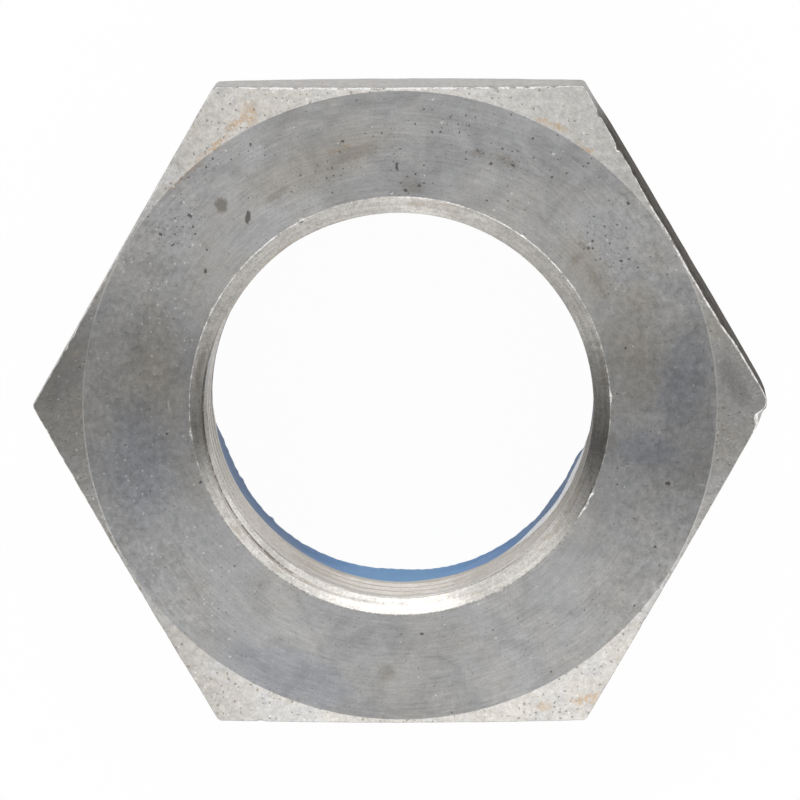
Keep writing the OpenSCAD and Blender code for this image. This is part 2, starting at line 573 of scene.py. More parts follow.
class Finish:
    """A node material under construction. Sizes of features are in millimetres, and values that are
    measured in the material, such as how far a place lies in a direction, are in metres."""

    def __init__(self, name):
        self.material = bpy.data.materials.new(name)
        self.material.use_nodes = True
        self.tree = self.material.node_tree
        self.tree.nodes.clear()
        self.position = self.node("ShaderNodeTexCoord").outputs["Object"]

    def node(self, kind, sockets=None, **settings):
        """Adds a node, makes its settings, then links or writes its sockets."""
        made = self.tree.nodes.new(kind)
        for name, value in settings.items():
            setattr(made, name, value)
        for name, value in (sockets or {}).items():
            if isinstance(value, bpy.types.NodeSocket):
                self.tree.links.new(value, made.inputs[name])
            else:
                made.inputs[name].default_value = value
        return made

    def maths(self, operation, first, second=0.0, third=0.0):
        """One sum, product or other operation on numbers."""
        return self.node("ShaderNodeMath", {0: first, 1: second, 2: third}, operation=operation).outputs[0]

    def vector(self, operation, first, second=(0.0, 0.0, 0.0), output="Vector"):
        """One operation on vectors."""
        return self.node("ShaderNodeVectorMath", {0: first, 1: second}, operation=operation).outputs[output]

    def noise(self, size, detail=2.0, roughness=0.5, distortion=0.0, at=None):
        """Soft random values round 0.5, with blobs about one size across."""
        sockets = {
            "Vector": at or self.position,
            "Scale": 1 / (size * MM),
            "Detail": detail,
            "Roughness": roughness,
            "Distortion": distortion,
        }
        return self.node("ShaderNodeTexNoise", sockets).outputs["Fac"]

    def along(self, x, y, z=0.0):
        """How far a place lies in a direction, in metres: the sum of each coordinate times its share."""
        return self.vector("DOT_PRODUCT", self.position, (x, y, z), output="Value")

    def flat_position(self):
        """The place without its height. It points away from the axis, so across anything turned."""
        return self.vector("MULTIPLY", self.position, (1.0, 1.0, 0.0))

    def radius(self):
        """Distance from the axis, in metres."""
        return self.vector("LENGTH", self.flat_position(), output="Value")

    def angle_from(self, direction):
        """Angle round the axis from a direction, in degrees from -180 to 180."""
        c, s = math.cos(math.radians(direction)), math.sin(math.radians(direction))
        return self.maths("DEGREES", self.maths("ARCTAN2", self.along(-s, c), self.along(c, s)))

    def sector(self, direction, half_width, soft):
        """1 within half the width of a direction, in degrees, and 0 beyond the soft edge."""
        away = self.maths("ABSOLUTE", self.angle_from(direction))
        return self.step(away, half_width - soft / 2, half_width + soft / 2, 1.0, 0.0)

    def by_direction(self, stops):
        """A value that goes straight from stop to stop round the axis, given as (direction, value).

        A colour ramp holds it at half its size, because a ramp's colours end at 1. The first stop is
        at 0 degrees, and the ramp comes back to its value at 360.
        """
        turned_share = self.maths("FRACT", self.maths("MULTIPLY_ADD", self.angle_from(0), 1 / 360, 1.0))
        ramp = self.node("ShaderNodeValToRGB", {"Fac": turned_share})
        elements = ramp.color_ramp.elements
        elements[0].color = elements[1].color = (stops[0][1] / 2,) * 3 + (1.0,)
        for direction, value in stops[1:]:
            elements.new(direction / 360).color = (value / 2,) * 3 + (1.0,)
        return self.maths("MULTIPLY", ramp.outputs["Color"], 2.0)

    def round_axis(self, stretch):
        """Place for textures that run round the axis: x and y shrunk, and the distance from the axis
        plus the height in place of z. A feature then is 1 / stretch times as long as it is wide."""
        outwards = self.maths("ADD", self.radius(), self.along(0.0, 0.0, 1.0))
        shrunk = self.vector("MULTIPLY", self.position, (stretch, stretch, 0.0))
        upright = self.node("ShaderNodeCombineXYZ", {"Z": outwards}).outputs["Vector"]
        return self.vector("ADD", shrunk, upright)

    def shifted(self, size, amount):
        """The place moved at random by up to about the amount, in blobs about one size across."""
        sockets = {"Vector": self.position, "Scale": 1 / (size * MM), "Detail": 1.0}
        blobs = self.node("ShaderNodeTexNoise", sockets).outputs["Color"]
        centred = self.vector("SUBTRACT", blobs, (0.5, 0.5, 0.5))
        return self.vector("ADD", self.position, self.vector("MULTIPLY", centred, (4 * amount * MM,) * 3))

    def dots(self, cell, radius, share, at, dimensions="2D"):
        """Scattered dots: one in each random cell, kept where the cell's own number is under the share.

        A second number of the cell makes its dot up to twice as large as the smallest. Two dimensions
        are for surfaces that lie flat, where every cell then shows its dot.
        """
        made = self.node("ShaderNodeTexVoronoi", {"Vector": at, "Scale": 1 / (cell * MM)},
                         voronoi_dimensions=dimensions)
        numbers = self.node("ShaderNodeSeparateColor", {"Color": made.outputs["Color"]}).outputs
        larger = self.maths("ADD", numbers["Green"], 0.6)
        distance = self.maths("DIVIDE", made.outputs["Distance"], larger)
        spot = self.step(distance, 0.7 * radius / cell, 1.1 * radius / cell, 1.0, 0.0)
        return self.maths("MULTIPLY", spot, self.maths("LESS_THAN", numbers["Red"], share))

    def weighed(self, *pairs):
        """Brightness round 1: 1 plus the sum of weight * 2 * (value - 0.5)."""
        total = 1.0 - sum(weight for value, weight in pairs)
        for value, weight in pairs:
            total = self.maths("MULTIPLY_ADD", value, 2 * weight, total)
        return total

    def step(self, value, low, high, start=0.0, end=1.0):
        """Smooth step from start to end while the value goes from low to high."""
        sockets = {"Value": value, "From Min": low, "From Max": high, "To Min": start, "To Max": end}
        return self.node("ShaderNodeMapRange", sockets, interpolation_type="SMOOTHSTEP").outputs["Result"]

    def mix(self, share, base, other, blend_type="MIX"):
        """Colour mix: a share of 0 leaves the base, and a share of 1 gives the other or the full blend."""
        made = self.node("ShaderNodeMix", data_type="RGBA", blend_type=blend_type)
        for socket, value in ((0, share), (6, base), (7, other)):
            if isinstance(value, bpy.types.NodeSocket):
                self.tree.links.new(value, made.inputs[socket])
            elif socket == 0:
                made.inputs[socket].default_value = value
            else:
                made.inputs[socket].default_value = (*value, 1.0)
        return made.outputs[2]

    def tinted(self, colour, share, strength, tint):
        """The colour mixed with a tint, as much as the share times the strength says."""
        return self.mix(self.maths("MULTIPLY", share, strength), colour, tint)

    def shaded(self, colour, brightness):
        """The colour multiplied by a brightness."""
        return self.mix(1.0, colour, brightness, "MULTIPLY")

    def gain(self, share, amount):
        """A factor that is 1 where the share is 0, and 1 + amount where it is 1."""
        return self.maths("MULTIPLY_ADD", share, amount, 1.0)

    def bump(self, height_value, strength, distance):
        """Relief: a height of 0 to 1 stands for the distance given."""
        sockets = {"Height": height_value, "Strength": strength, "Distance": distance * MM}
        return self.node("ShaderNodeBump", sockets).outputs["Normal"]

    def surface(self, **sockets):
        """The shader itself. A name with an underscore stands for a socket's name with a space."""
        named = {name.replace("_", " "): value for name, value in sockets.items()}
        shader = self.node("ShaderNodeBsdfPrincipled", named)
        output = self.node("ShaderNodeOutputMaterial", {"Surface": shader.outputs[0]})
        output.is_active_output = True
        return self.material


print("steps that a recipe can take:", sum(not name.startswith("_") for name in vars(Finish)))

# %% [markdown]
# Most of the wear may lie anywhere, so noise and random dots give it. The marks that an eye would
# look for are another matter: they have to be where the real nut has them. Painting them into a
# picture would fix their sharpness, so each is a place, a size and an angle instead.

# %% Marks at given places
MARK_SOFTNESS = 0.35


def marks(finish, places, ragged_mm=0.08, softness=MARK_SOFTNESS):
    """Spots where the real nut has them: (x, y, half length, half width, angle) in mm and degrees.

    The way from a mark's centre is measured along its length and across it, in half lengths and half
    widths. The sum of the two squares is 1 on the mark's rim, and the mark fades from inside to
    outside of it. A noise shifts the place first, so no spot is round.
    """
    ragged = finish.shifted(0.35, ragged_mm)
    total = 0.0
    for x, y, half_length, half_width, angle in places:
        c, s = math.cos(math.radians(angle)) / MM, math.sin(math.radians(angle)) / MM
        way = finish.vector("SUBTRACT", ragged, (x * MM, y * MM, 0.0))
        length_share = finish.vector("DOT_PRODUCT", way, (c / half_length, s / half_length, 0.0), "Value")
        width_share = finish.vector("DOT_PRODUCT", way, (-s / half_width, c / half_width, 0.0), "Value")
        squared = finish.maths("MULTIPLY", width_share, width_share)
        squared = finish.maths("MULTIPLY_ADD", length_share, length_share, squared)
        spot = finish.step(squared, (1 - softness) ** 2, (1 + softness) ** 2, 1.0, 0.0)
        total = finish.maths("MAXIMUM", total, spot)
    return total


print("a mark fades between", 1 - MARK_SOFTNESS, "and", 1 + MARK_SOFTNESS, "of its size")

# %% [markdown]
# The bearing face is turned on a lathe. The tool leaves fine rings round the axis, so the light runs
# along them and the metal looks brighter where a lamp stands across them: that is why a turned face
# shows two bright and two dark wings. Anisotropy gives exactly that, with its tangent laid across
# the rings, away from the axis.
# Handling and damp have added faint blue and brown clouds, a leathery mottling, pits, bright specks
# where the metal was struck, and some rust next to the corners at the top.

# %% Dark and brown spots on the bearing face
DARK_SPOTS = [
    (-10.8, 13.7, 0.20, 0.48, -10),
    (-10.6, 18.9, 0.10, 0.09, 0),
    (-13.3, 17.9, 0.12, 0.09, 0),
    (-9.1, 21.3, 0.10, 0.08, 0),
    (-15.0, 13.8, 0.20, 0.08, -40),
    (-14.6, 12.5, 0.12, 0.08, 0),
    (-17.1, 12.5, 0.10, 0.08, 0),
    (-16.2, 11.7, 0.14, 0.07, 30),
    (-13.9, 9.9, 0.10, 0.16, 0),
    (-6.6, 13.2, 0.22, 0.10, 30),
    (9.6, 19.3, 0.09, 0.09, 0),
    (6.6, 17.5, 0.13, 0.10, 20),
    (8.2, 17.4, 0.16, 0.08, -40),
    (8.1, 21.0, 0.10, 0.08, 0),
    (6.3, 14.9, 0.10, 0.09, 0),
    (11.0, 16.5, 0.13, 0.09, 0),
    (13.6, 17.5, 0.12, 0.09, 30),
    (16.4, 14.6, 0.12, 0.10, 0),
    (13.6, 11.4, 0.12, 0.10, 0),
    (15.9, 10.5, 0.11, 0.09, 0),
    (17.1, 10.0, 0.10, 0.09, 0),
    (-0.1, 17.3, 0.12, 0.30, 0),
    (0.5, 15.6, 0.14, 0.12, 0),
    (1.5, 15.9, 0.12, 0.10, 0),
    (-4.0, 19.1, 0.11, 0.09, 0),
    (1.5, -16.5, 0.14, 0.12, 0),
    (19.2, -5.6, 0.16, 0.12, 0),
    (18.3, -10.2, 0.10, 0.09, 0),
]
BROWN_SPOTS = [
    (-12.7, 14.6, 0.42, 0.50, 20),
    (0.9, 16.0, 0.75, 0.55, 0),
    (7.8, 17.7, 0.70, 0.30, -25),
    (5.6, 18.3, 0.50, 0.22, -10),
    (-2.9, 18.4, 1.30, 0.40, 20),
    (-8.6, 15.4, 0.90, 0.25, 35),
    (12.8, 10.6, 0.50, 0.22, 45),
    (13.9, 9.4, 0.75, 0.28, -60),
    (13.2, 11.6, 0.50, 0.14, -50),
    (14.6, 8.3, 0.45, 0.18, -65),
    (-1.1, -19.4, 0.55, 0.45, 0),
    (14.2, -2.8, 1.20, 0.70, 10),
]
DEEP_STAINS = [
    (-12.7, 14.6, 0.42, 0.48, 20),
]
print(len(DARK_SPOTS), "dark spots and", len(BROWN_SPOTS), "brown ones")

# %% Pitted areas, clouds and rust
PITTED_AREAS = [
    (0.9, 16.0, 1.00, 0.70, 0),
    (7.8, 17.9, 2.00, 0.70, -20),
    (4.5, 20.3, 1.20, 0.50, 0),
    (-0.2, 18.6, 0.50, 1.00, 0),
    (-16.0, 12.6, 1.60, 0.80, 30),
    (15.0, 11.5, 2.40, 1.40, -45),
    (-5.0, 17.2, 2.60, 0.60, 20),
]
COOL_CLOUDS = [
    (20.6, 1.9, 1.30, 2.60, -10),
    (17.6, -3.2, 1.60, 0.80, 0),
    (-18.8, -3.5, 1.60, 3.00, 0),
    (-8.0, -19.5, 3.00, 1.20, -20),
]
WARM_CLOUDS = [
    (17.0, 3.8, 1.40, 2.40, 15),
    (16.9, 7.6, 1.20, 1.00, 0),
    (-17.5, 2.0, 1.50, 3.50, 0),
    (-6.0, 17.4, 3.60, 1.10, 22),
    (13.5, 9.9, 1.80, 1.00, -55),
]
RUST_STAINS = [
    (-15.2, 16.7, 1.60, 0.16, 42),
    (-13.4, 18.6, 1.30, 0.14, 38),
    (-10.6, 21.1, 0.45, 0.60, 20),
    (-11.6, 20.4, 0.70, 0.22, 35),
    (11.2, 20.2, 1.20, 0.16, -22),
    (13.3, 18.6, 0.60, 0.14, -35),
    (-4.2, 18.6, 0.80, 0.12, 15),
    (13.4, -21.4, 0.90, 0.30, 10),
    (10.2, -21.9, 0.50, 0.25, 0),
]
DARK_CLOUDS = [
    (-23.7, 3.6, 1.00, 2.60, -30),
    (-25.2, 0.8, 0.60, 0.80, 0),
    (24.0, 1.8, 0.50, 1.60, 25),
]
print(len(COOL_CLOUDS) + len(WARM_CLOUDS) + len(DARK_CLOUDS), "clouds and", len(RUST_STAINS), "rust stains")

# %% Bright spots
BRIGHT_SPOTS = [
    (-16.6, 0.1, 0.05, 0.42, 8),
    (-21.0, 0.1, 0.09, 0.08, 0),
    (-17.9, 1.6, 0.08, 0.07, 0),
    (-17.6, 2.4, 0.07, 0.06, 0),
    (-15.6, -2.1, 0.07, 0.06, 0),
    (-21.3, -4.8, 0.07, 0.06, 0),
    (-19.6, -5.3, 0.07, 0.06, 0),
    (-19.0, -5.8, 0.06, 0.05, 0),
    (11.1, 18.2, 0.10, 0.08, 0),
    (14.9, 12.0, 0.09, 0.07, 0),
    (19.8, 2.8, 0.10, 0.08, 0),
    (21.1, 1.5, 0.09, 0.07, 0),
    (-0.5, 15.4, 0.12, 0.09, 0),
    (16.2, -4.4, 0.40, 0.03, 12),
    (21.7, -5.7, 0.45, 0.03, -5),
    (16.6, -4.1, 0.25, 0.03, -30),
]
print(len(BRIGHT_SPOTS), "bright spots")

# %% Turned steel of the bearing face
# Painted highlight on parts of the two bright wings: direction, half width, soft edge and gain
PAINTED_HIGHLIGHT_SECTORS = [
    (121, 8, 14, 0.13),
    (304, 17, 20, 0.12),
    (232, 18, 18, 0.07),
]


def worn_skin(finish):
    """Smudges, leathery mottling and grain, which all zones of the steel share."""
    smudges = finish.noise(3.0, detail=4.0, roughness=0.65, distortion=0.8)
    mottle = finish.noise(0.50, detail=2.0, roughness=0.6, distortion=0.4)
    grain = finish.noise(0.15, detail=1.0, roughness=0.5)
    return smudges, mottle, grain


def turned_steel():
    """Rings, dashes, grain, clouds, pits, specks and stains on the bearing face, with painted light and shade
    by direction.
    """
    finish = Finish("turned_steel")
    rings = finish.noise(0.16, detail=2.0, roughness=0.6, at=finish.round_axis(0.07))
    dashes = finish.noise(0.15, detail=1.0, at=finish.round_axis(0.25))
    clouds = finish.noise(6.0, detail=3.0, roughness=0.6, distortion=0.6)
    blotches = finish.noise(2.6, detail=3.0, roughness=0.65, distortion=1.2)
    smudges, mottle, grain = worn_skin(finish)
    along_y = finish.along(0.0, 1.0)
    away_x = finish.maths("ABSOLUTE", finish.along(1.0, 0.0))
    away_y = finish.maths("ABSOLUTE", along_y)
    sides = finish.step(away_x, 12 * MM, 18 * MM)
    leather = finish.maths("MULTIPLY_ADD", finish.maths("SUBTRACT", mottle, 0.5), sides, 0.5)
    top_half = finish.step(along_y, 2 * MM, 16 * MM)
    left_side = finish.step(finish.along(-1.0, 0.0), 10 * MM, 18 * MM)
    ring_share = finish.step(away_y, 4 * MM, 15 * MM, 0.12, 1.0)
    ring_tone = finish.maths("MULTIPLY_ADD", finish.maths("SUBTRACT", rings, 0.5), ring_share, 0.5)

    tint = finish.mix(finish.step(clouds, 0.38, 0.62), (0.466, 0.467, 0.474), (0.486, 0.480, 0.467))
    tint = finish.mix(finish.step(blotches, 0.56, 0.74, 0.0, 0.24), tint, (0.43, 0.405, 0.365))
    warm = marks(finish, WARM_CLOUDS, ragged_mm=0.5, softness=0.9)
    cool = marks(finish, COOL_CLOUDS, ragged_mm=0.5, softness=0.9)
    tint = finish.tinted(tint, warm, 0.60, (0.455, 0.425, 0.380))
    tint = finish.tinted(tint, cool, 0.60, (0.345, 0.360, 0.400))
    brightness = finish.weighed((ring_tone, 0.22), (dashes, 0.09), (leather, 0.28),
                                (smudges, 0.11), (mottle, 0.13), (grain, 0.17))
    # Painted light and shade: a band along X lighter, a band along Y darker, some sectors brighter and the
    # top darker
    painted_wing_light = finish.maths("MULTIPLY", finish.step(away_y, 1 * MM, 5.5 * MM, 1.15, 1.0),
                         finish.step(away_x, 3 * MM, 8 * MM, 0.92, 1.0))
    for direction, half_width, soft, amount in PAINTED_HIGHLIGHT_SECTORS:
        sector_highlight = finish.gain(finish.sector(direction, half_width, soft), amount)
        painted_wing_light = finish.maths("MULTIPLY", painted_wing_light, sector_highlight)
    painted_wing_light = finish.maths("MULTIPLY", painted_wing_light, finish.step(along_y, 11 * MM, 20 * MM, 1.0, 0.93))
    colour = finish.shaded(tint, finish.maths("MULTIPLY", brightness, painted_wing_light))

    ragged = finish.shifted(0.16, 0.055)
    pitted = marks(finish, PITTED_AREAS, ragged_mm=0.4, softness=0.8)
    pit_share = finish.maths("MULTIPLY_ADD", pitted, 0.60, finish.maths("MULTIPLY_ADD", top_half, 0.05, 0.04))
    pits = finish.dots(0.60, 0.052, pit_share, ragged)
    small_pits = finish.dots(0.34, 0.036, finish.maths("MULTIPLY_ADD", pit_share, 1.0, 0.10), ragged)
    specks = finish.dots(0.62, 0.055, finish.maths("MULTIPLY_ADD", left_side, 0.26, 0.04), ragged)
    dark = finish.maths("MAXIMUM", marks(finish, DARK_SPOTS, softness=0.25), pits)
    brown = marks(finish, BROWN_SPOTS, ragged_mm=0.16, softness=0.55)
    stain = marks(finish, DEEP_STAINS, ragged_mm=0.10, softness=0.25)
    rust = finish.maths("MULTIPLY", marks(finish, RUST_STAINS, ragged_mm=0.22, softness=0.7),
                        finish.step(mottle, 0.42, 0.56, 0.15, 1.0))
    bright = finish.maths("MAXIMUM", marks(finish, BRIGHT_SPOTS, softness=0.25), specks)
    colour = finish.tinted(colour, brown, 0.32, (0.22, 0.180, 0.135))
    colour = finish.tinted(colour, stain, 0.60, (0.215, 0.195, 0.165))
    colour = finish.tinted(colour, rust, 0.45, (0.40, 0.27, 0.15))
    colour = finish.tinted(colour, small_pits, 0.50, (0.16, 0.14, 0.12))
    colour = finish.tinted(colour, dark, 0.80, (0.10, 0.09, 0.075))
    colour = finish.tinted(colour, bright, 0.55, (0.90, 0.90, 0.88))

    roughness = finish.step(smudges, 0.3, 0.7, 0.35, 0.46)
    relief = finish.weighed((rings, 0.4), (dashes, 0.35), (mottle, 0.6), (grain, 0.3))
    return finish.surface(
        Base_Color=colour,
        Metallic=1.0,
        Roughness=roughness,
        Anisotropic=0.85,
        Tangent=finish.flat_position(),
        Normal=finish.bump(relief, 0.5, 0.006),
    )


face_finish = turned_steel()
print("turned steel takes", len(face_finish.node_tree.nodes), "nodes")

# %% [markdown]
# The trimmed corners are forged skin that was only skimmed: sandy, with small dark pores, warm
# mottling, and rust in the hollows. A picture of such a skin could be laid over them, but noise of
# the right grain gives it without a seam and without a pattern that repeats. Where the skin meets
# the turned circle it is burnished on both sides of the nut, and dark clouds lie at the two corners
# along X.

# %% Skimmed skin of the corners


def corner_steel():
    """Sandy skin of the trimmed corners, with painted shade that darkens the corner along -X most and the one
    along +X less.
    """
    finish = Finish("corner_steel")
    sand = finish.noise(0.22, detail=2.0, roughness=0.6)
    clouds = finish.noise(3.5, detail=3.0, roughness=0.6)
    smudges, mottle, grain = worn_skin(finish)
    tint = finish.mix(finish.step(clouds, 0.4, 0.6), (0.575, 0.567, 0.555), (0.585, 0.562, 0.527))
    smooth = finish.sector(55, 20, 20)
    rough = finish.maths("SUBTRACT", 1.0, smooth)
    tint = finish.mix(smooth, tint, (0.520, 0.512, 0.490))
    brightness = finish.weighed((sand, 0.20), (smudges, 0.13), (mottle, 0.30), (grain, 0.15))
    # Painted shade: darker towards the corner along -X, and less so towards +X
    corner_painted_shade = finish.maths("MULTIPLY", finish.step(finish.along(-0.985, -0.174), 10 * MM, 25 * MM, 1.0, 0.56),
                          finish.step(finish.along(1.0, 0.0), 15 * MM, 24 * MM, 1.0, 0.79))
    colour = finish.shaded(tint, finish.maths("MULTIPLY", brightness, corner_painted_shade))
    radius = finish.radius()
    far_side = finish.step(finish.maths("ABSOLUTE", finish.along(1.0, 0.0)), 19.5 * MM, 20.5 * MM)
    burnished = finish.maths("MULTIPLY", far_side,
                             finish.step(radius, (bearing_r + 0.06) * MM, (bearing_r + 0.15) * MM, 0.55, 0.0))
    colour = finish.mix(burnished, colour, (0.62, 0.61, 0.59))
    dark_corner_clouds = marks(finish, DARK_CLOUDS, ragged_mm=0.3, softness=0.8)
    colour = finish.tinted(colour, dark_corner_clouds, 0.40, (0.215, 0.215, 0.205))
    ragged = finish.shifted(0.25, 0.07)
    pores = finish.dots(0.42, 0.062, finish.maths("MULTIPLY_ADD", rough, 0.30, 0.08), ragged)
    stained = finish.step(finish.noise(1.1, detail=3.0, roughness=0.7), 0.58, 0.74, 0.0, 0.4)
    rust = finish.maths("MULTIPLY", marks(finish, RUST_STAINS, ragged_mm=0.22, softness=0.7),
                        finish.step(sand, 0.40, 0.60, 0.15, 1.0))
    speck_share = finish.maths("MULTIPLY_ADD", rough, 0.22, 0.05)
    specks = finish.dots(0.6, 0.060, speck_share, finish.shifted(0.20, 0.05))
    colour = finish.mix(stained, colour, (0.47, 0.41, 0.33))
    colour = finish.tinted(colour, rust, 0.7, (0.52, 0.33, 0.16))
    colour = finish.tinted(colour, pores, 0.60, (0.20, 0.17, 0.13))
    colour = finish.tinted(colour, specks, 0.35, (0.90, 0.89, 0.87))
    relief = finish.weighed((sand, 0.5), (mottle, 0.6))
    relief = finish.maths("SUBTRACT", relief, pores)
    return finish.surface(
        Base_Color=colour,
        Metallic=1.0,
        Roughness=0.40,
        Anisotropic=0.4,
        Tangent=finish.flat_position(),
        Normal=finish.bump(relief, 0.5, 0.015),
    )


corner_finish = corner_steel()
print("the corners' skin takes", len(corner_finish.node_tree.nodes), "nodes")

# %% [markdown]
# The mouth and the thread are cut fine, so they shine. The mouth's brightness changes round the axis,
# and that is painted light and shade. A lamp for each bright place would light everything else as
# well, so two lists paint the steel's light and shade by direction instead: one for the whole mouth,
# and one for what lies below the edge where the groove opens the cone, as a factor on the first.
# The groove darkens towards its root, with dirt and painted shade.

# %% Painted light and shade round the mouth, as (direction in degrees, brightness)
CONE_PAINTED_LIGHT = [
    (0, 0.70),
    (9, 0.84),
    (17, 0.68),
    (29, 0.50),
    (58, 0.62),
    (72, 0.78),
    (82, 0.98),
    (90, 0.92),
    (99, 0.73),
    (130, 0.68),
    (143, 0.58),
    (152, 0.53),
    (160, 0.80),
    (168, 1.25),
    (176, 1.05),
    (186, 0.82),
    (200, 0.75),
    (216, 1.15),
    (240, 1.03),
    (247, 0.88),
    (254, 1.00),
    (282, 1.12),
    (293, 0.95),
    (305, 1.10),
    (318, 0.94),
    (328, 0.50),
    (337, 0.37),
    (351, 0.41),
]
BELOW_LINE_PAINTED_LIGHT = [
    (0, 1.0),
    (147, 1.1),
    (153, 1.6),
    (164, 1.9),
    (190, 1.7),
    (203, 1.2),
    (216, 0.95),
    (230, 0.92),
    (241, 0.68),
    (255, 0.78),
    (268, 0.95),
    (288, 0.90),
    (345, 1.1),
]
painted_light_directions, painted_light_values = np.array(CONE_PAINTED_LIGHT).T
print("the mouth is brightest at", painted_light_directions[painted_light_values.argmax()],
      "degrees and darkest at", painted_light_directions[painted_light_values.argmin()])

# %% Cut steel of the mouth and the thread
MIDDLE_OF_OPENING_DEG = 210
LINE_INSIDE_OPENING = 0.03
LINE_REACHES_OUT = 0.6


def bore_steel():
    """Cut steel of the mouth and the thread: fine lines round the axis, brown smears, and dirt and painted
    shade that deepen from the crest to the root of the groove.

    How deep a place lies in the groove is its distance from the axis less that of the uncut bore at
    its height, which is the crest's, or the cone's where that is wider. The groove opens the cone at
    crest + (angle - start) / 360 * pitch / 2 / rise, and a dark line is painted along that edge as the
    shade of the step there.
    """
    finish = Finish("bore_steel")
    lines = finish.noise(0.10, detail=2.0, roughness=0.6, at=finish.round_axis(0.04))
    bands = finish.noise(0.34, detail=1.0, at=finish.round_axis(0.05))
    smears = finish.noise(1.6, detail=3.0, roughness=0.7, distortion=0.8, at=finish.round_axis(0.35))
    smudges, mottle, grain = worn_skin(finish)
    radius = finish.radius()
    below_face = finish.maths("SUBTRACT", height * MM, finish.along(0.0, 0.0, 1.0))
    below_mouth = finish.step(below_face, 1.5 * MM, 2.2 * MM)

    brightness = finish.weighed((lines, 0.22), (bands, 0.22), (smudges, 0.17), (mottle, 0.28), (grain, 0.35))
    per_degree = pitch / 2 / cone_rise / 360
    middle_r = minor_r + (MIDDLE_OF_OPENING_DEG - MOUTH_GROOVE_DEG) * per_degree - LINE_INSIDE_OPENING
    opened_r = finish.maths("MULTIPLY_ADD", finish.angle_from(MIDDLE_OF_OPENING_DEG), per_degree * MM,
                            middle_r * MM)
    opened_r = finish.maths("MINIMUM", opened_r, (minor_r + LINE_REACHES_OUT) * MM)
    under_line = finish.step(finish.maths("SUBTRACT", opened_r, radius), -0.03 * MM, 0.05 * MM)
    # Painted light and shade: the mouth's brightness by direction, and below the opened edge as a factor on
    # it
    below_line_painted_light = finish.maths("SUBTRACT", finish.by_direction(BELOW_LINE_PAINTED_LIGHT), 1.0)
    tone = finish.maths("MULTIPLY", finish.by_direction(CONE_PAINTED_LIGHT), finish.gain(below_line_painted_light, under_line))
    colour = finish.shaded((0.53, 0.512, 0.483), finish.maths("MULTIPLY", brightness, tone))
    colour = finish.tinted(colour, below_mouth, 0.45, (0.66, 0.61, 0.55))
    colour = finish.mix(finish.step(smears, 0.54, 0.72, 0.0, 0.45), colour, (0.29, 0.24, 0.185))

    cone = finish.maths("MULTIPLY_ADD", below_face, -1 / cone_rise, mouth_r * MM)
    uncut = finish.maths("MAXIMUM", cone, minor_r * MM)
    depth = finish.step(finish.maths("SUBTRACT", radius, uncut), 0.40 * MM, 1.05 * MM)
    # Dirt and painted shade: darker from the crest to the root of the groove, less so below the mouth
    dirt_and_shade = finish.maths("MULTIPLY", depth, finish.step(mottle, 0.3, 0.6, 0.30, 0.65))
    dirt_and_shade = finish.maths("MULTIPLY", dirt_and_shade, finish.gain(below_mouth, -0.7))
    colour = finish.mix(dirt_and_shade, colour, (0.17, 0.13, 0.095))

    # Painted shade: a dark line along the edge where the groove opens the cone, the shade of the step there.
    # A dark line along the crest is added to it.
    from_edge = finish.maths("ABSOLUTE", finish.maths("SUBTRACT", radius, opened_r))
    edge_shade_line = finish.maths("MULTIPLY", finish.step(from_edge, 0.03 * MM, 0.09 * MM, 0.75, 0.0),
                             finish.sector(203, 41, 26))
    from_crest = finish.maths("ABSOLUTE", finish.maths("SUBTRACT", radius, (minor_r + 0.06) * MM))
    crest_line = finish.maths("MULTIPLY", finish.step(from_crest, 0.02 * MM, 0.07 * MM, 0.50, 0.0),
                              finish.sector(255, 55, 20))
    crest_line = finish.maths("MULTIPLY", crest_line, finish.maths("SUBTRACT", 1.0, below_mouth))
    shade_and_crest_lines = finish.maths("MULTIPLY", finish.maths("MAXIMUM", edge_shade_line, crest_line),
                          finish.step(mottle, 0.36, 0.52, 0.35, 1.0))
    colour = finish.mix(shade_and_crest_lines, colour, (0.085, 0.060, 0.040))
    # Painted highlight: the burr of the last turn is painted near white, as a glare of light on it, and made
    # less metallic
    from_bore = finish.maths("SUBTRACT", radius, minor_r * MM)
    burr = finish.step(from_bore, -0.08 * MM, -0.01 * MM, 1.0, 0.0)
    burr = finish.maths("MULTIPLY", burr, finish.sector(325, 20, 10))
    colour = finish.mix(burr, colour, (0.98, 0.98, 0.98))

    roughness = finish.maths("MULTIPLY_ADD", below_mouth, 0.16, 0.31)
    roughness = finish.maths("MAXIMUM", roughness, finish.step(depth, 0.0, 1.0, 0.31, 0.50))
    relief = finish.weighed((lines, 0.4), (bands, 0.5), (mottle, 0.5))
    return finish.surface(
        Base_Color=colour,
        Metallic=finish.gain(burr, -0.7),
        Roughness=roughness,
        Anisotropic=0.7,
        Tangent=finish.flat_position(),
        Normal=finish.bump(relief, 0.6, 0.012),
    )


bore_finish = bore_steel()
print("the bore's steel takes", len(bore_finish.node_tree.nodes), "nodes")

# %% [markdown]
# Five of the wrench flats are plain grey with upright streaks. On the one between the corners at 0
# and 60 degrees a dark patch is painted as shade, thinning out before the corner at 60 degrees. There
# the metal is also made dull, and no longer a metal to the light.

# %% Flats, with painted shade on one of them


